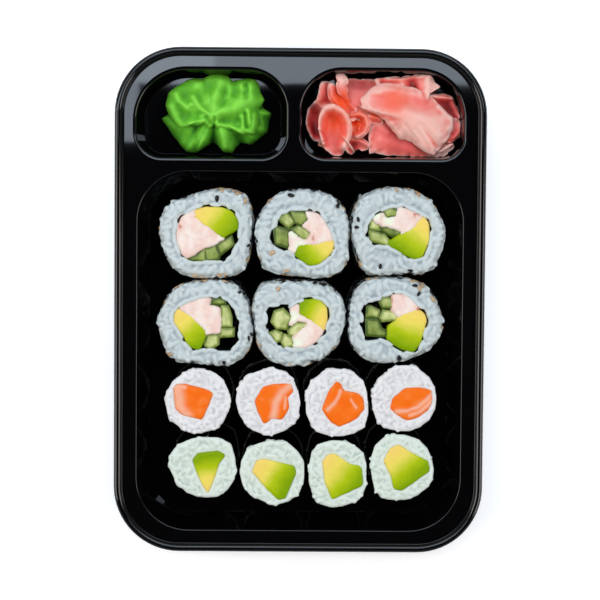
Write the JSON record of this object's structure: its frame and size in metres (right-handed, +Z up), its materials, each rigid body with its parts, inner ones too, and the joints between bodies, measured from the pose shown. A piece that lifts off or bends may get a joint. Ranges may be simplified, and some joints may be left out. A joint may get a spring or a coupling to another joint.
{
  "type": "takeaway sushi tray",
  "caption": "Black formed plastic takeaway tray with three pockets, filled with inside-out rolls, small nori rolls, a knob of green horseradish paste and folded pickled ginger.",
  "frame": {"origin": "middle of the tray's underside, on the surface it stands on", "axes": "+Z up, +X across the tray, +Y along its length towards the two small pockets"},
  "size_m": [0.163, 0.222, 0.03],
  "materials": {
    "tray_plastic": "glossy black formed plastic",
    "rice": "moist sticky white rice",
    "nori": "dark green-black seaweed sheet",
    "avocado": "smooth flesh, yellow to green",
    "crab": "creamy shredded mix",
    "cucumber": "wet pale green flesh",
    "salmon": "moist orange flesh with pale bands",
    "wasabi": "moist bright green paste",
    "ginger": "thin wet pink slices"
  },
  "bodies": {
    "root": {"tray": "tray_plastic", "uramaki_1_rice": "rice", "uramaki_1_nori": "nori", "uramaki_1_avocado": "avocado", "uramaki_1_cucumber": "cucumber", "uramaki_1_crab": "crab", "uramaki_2_rice": "rice", "uramaki_2_nori": "nori", "uramaki_2_avocado": "avocado", "uramaki_2_cucumber": "cucumber", "uramaki_2_crab": "crab", "uramaki_3_rice": "rice", "uramaki_3_nori": "nori", "uramaki_3_avocado": "avocado", "uramaki_3_cucumber": "cucumber", "uramaki_3_crab": "crab", "uramaki_4_rice": "rice", "uramaki_4_nori": "nori", "uramaki_4_avocado": "avocado", "uramaki_4_cucumber": "cucumber", "uramaki_4_crab": "crab", "uramaki_5_rice": "rice", "uramaki_5_nori": "nori", "uramaki_5_avocado": "avocado", "uramaki_5_cucumber": "cucumber", "uramaki_5_crab": "crab", "uramaki_6_rice": "rice", "uramaki_6_nori": "nori", "uramaki_6_avocado": "avocado", "uramaki_6_cucumber": "cucumber", "uramaki_6_crab": "crab", "salmon_maki_1_rice": "rice", "salmon_maki_1_nori": "nori", "salmon_maki_1_salmon": "salmon", "salmon_maki_2_rice": "rice", "salmon_maki_2_nori": "nori", "salmon_maki_2_salmon": "salmon", "salmon_maki_3_rice": "rice", "salmon_maki_3_nori": "nori", "salmon_maki_3_salmon": "salmon", "salmon_maki_4_rice": "rice", "salmon_maki_4_nori": "nori", "salmon_maki_4_salmon": "salmon", "avocado_maki_1_rice": "rice", "avocado_maki_1_nori": "nori", "avocado_maki_1_avocado": "avocado", "avocado_maki_2_rice": "rice", "avocado_maki_2_nori": "nori", "avocado_maki_2_avocado": "avocado", "avocado_maki_3_rice": "rice", "avocado_maki_3_nori": "nori", "avocado_maki_3_avocado": "avocado", "avocado_maki_4_rice": "rice", "avocado_maki_4_nori": "nori", "avocado_maki_4_avocado": "avocado", "wasabi": "wasabi", "ginger": "ginger"}
  },
  "joints": []
}
